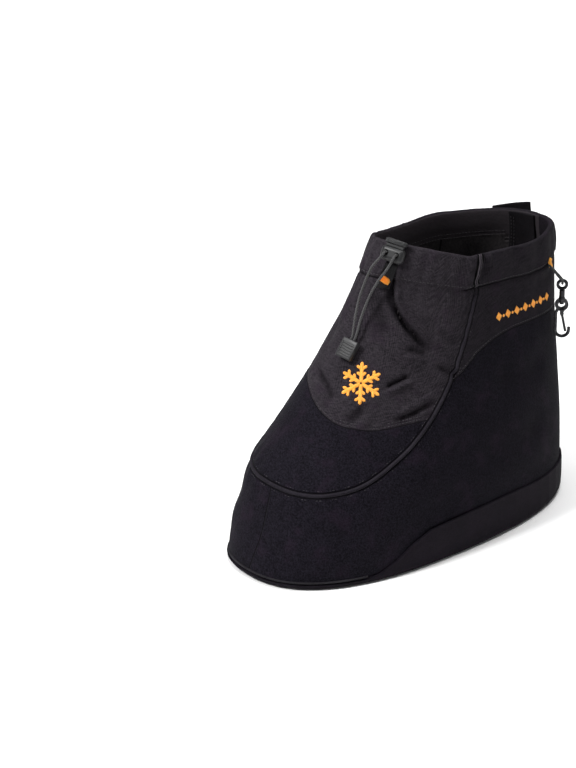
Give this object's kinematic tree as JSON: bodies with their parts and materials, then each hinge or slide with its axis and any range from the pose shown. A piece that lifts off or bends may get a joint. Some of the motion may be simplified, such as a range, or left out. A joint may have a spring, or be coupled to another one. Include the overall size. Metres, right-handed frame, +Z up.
{
  "type": "winter overshoe",
  "caption": "Slip-on insulated cloth overshoe with a drawcord collar, a cord lock, a raised horseshoe seam round the vamp, a soft cupped sole and a swivel clip at the outer back",
  "frame": {"origin": "on the underside of the sole, halfway along it, on the flat of the forefoot", "axes": "+Y from toe to heel, +X to the outer side, +Z up"},
  "size_m": [0.174, 0.3493, 0.281],
  "materials": {
    "sole_cloth": "coated",
    "edge_tape": "matt",
    "lining": "matt",
    "shell_cloth": "brushed",
    "seam_cord": "matt",
    "flap_cloth": "matt",
    "webbing": "woven",
    "lock_plastic": "satin",
    "drawcord": "braided",
    "loop_cord": "braided",
    "clip_metal": "satin"
  },
  "bodies": {
    "cover": {"outsole": "sole_cloth", "sole_binding": "edge_tape", "insole": "lining", "upper": "shell_cloth", "vamp_piping": "seam_cord", "back_flap": "flap_cloth", "back_underlap": "lining", "lock_tab": "webbing", "lock_body": "lock_plastic", "cord_inner": "drawcord", "cord_outer": "drawcord", "cord_end": "lock_plastic", "clip_loop": "loop_cord", "clip_eye": "clip_metal"},
    "button": {"lock_button": "lock_plastic"},
    "hook": {"clip_hook": "clip_metal"},
    "gate": {"clip_gate": "clip_metal"}
  },
  "joints": [
    {"name": "lock_press", "type": "slide", "parent": "cover", "child": "button", "axis": [0.0574, -0.4495, -0.8914], "range_m": [0, 0.0017], "stiffness_N_per_m": 400, "springref_m": -0.002},
    {"name": "hook_swivel", "type": "hinge", "parent": "cover", "child": "hook", "pos_m": [0.0512, 0.1441, 0.1855], "axis": [0, 0, 1], "range_deg": [-90, 90]},
    {"name": "gate_swing", "type": "hinge", "parent": "hook", "child": "gate", "pos_m": [0.05146, 0.14441, 0.1769], "axis": [-0.7682, 0.6402, 0], "range_deg": [0, 15], "stiffness_Nm_per_rad": 0.02, "springref_deg": -17.19}
  ]
}
